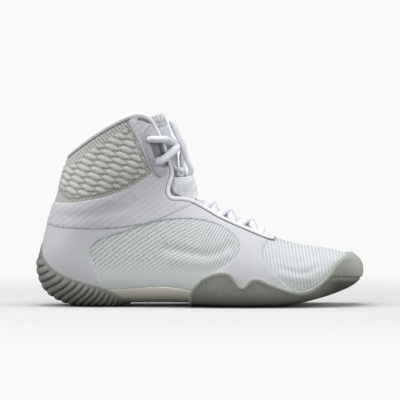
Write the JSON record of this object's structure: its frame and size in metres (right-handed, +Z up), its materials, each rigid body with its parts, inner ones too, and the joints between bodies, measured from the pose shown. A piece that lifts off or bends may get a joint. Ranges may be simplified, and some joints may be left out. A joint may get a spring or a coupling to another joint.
{
  "type": "wrestling shoe",
  "caption": "High-cut right wrestling shoe with a knit upper, padded collar, laced ankle and throat, a lace pocket, a ribbed heel cup and a waved forefoot rubber.",
  "frame": {"origin": "on the floor, under the middle of the shoe's box", "axes": "+X from heel to toe, +Y to the inner side of the foot, +Z up"},
  "size_m": [0.2964, 0.1018, 0.1752],
  "materials": {
    "white_knit": "matt knit",
    "trim": "smooth matt tape",
    "lining": "soft matt knit",
    "lace": "woven matt cord",
    "grey_rubber": "matt rubber",
    "foam": "satin moulded foam"
  },
  "bodies": {
    "root": {"upper": "white_knit", "midsole": "foam", "insole": "lining", "outsole_heel": "grey_rubber", "outsole_forefoot": "grey_rubber", "tongue": "lining", "collar_binding": "trim", "throat_binding": "trim", "eyestay_outer": "trim", "eyestay_inner": "trim", "lace_throat": "lace", "lace_ankle": "lace", "lace_keeper": "lining", "lace_knot": "lace", "lace_loop": "lace"}
  },
  "joints": []
}
